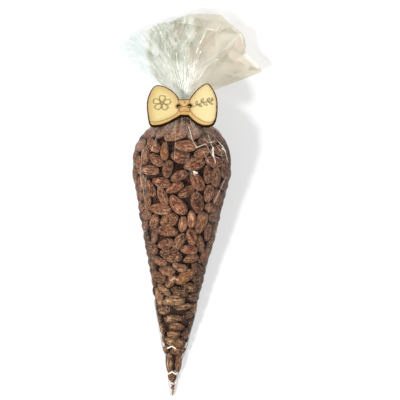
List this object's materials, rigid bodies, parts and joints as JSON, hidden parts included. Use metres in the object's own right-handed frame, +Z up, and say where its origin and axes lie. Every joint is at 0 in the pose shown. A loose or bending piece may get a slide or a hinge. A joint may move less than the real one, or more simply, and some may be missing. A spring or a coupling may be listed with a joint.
{
  "type": "cone of smoked almonds",
  "caption": "Clear film cone bag filled with smoked almonds, lying down, tied shut behind a flat plywood bow, with the spare film fanned out above the tie",
  "frame": {"origin": "in the flat underside of the filled cone, on its centre line and below the middle of its weight", "axes": "+X across the cone, +Y from the tip towards the gathered top, +Z up, towards the side that shows with the bow"},
  "size_m": [0.1462, 0.392, 0.0786],
  "materials": {
    "smoked_almond": "wrinkled brown roasted skins with a pale dusting of salt, seen through the clear film",
    "clear_film": "thin clear glossy film with sharp creases and pleats",
    "bow_plywood": "pale plywood with laser-burnt dark edges and fine engraved lines",
    "tie_thread": "thin waxed golden-brown thread"
  },
  "bodies": {
    "root": {"almond_cone": "smoked_almond", "film_top": "clear_film", "bow": "bow_plywood", "tie": "tie_thread"}
  },
  "joints": []
}
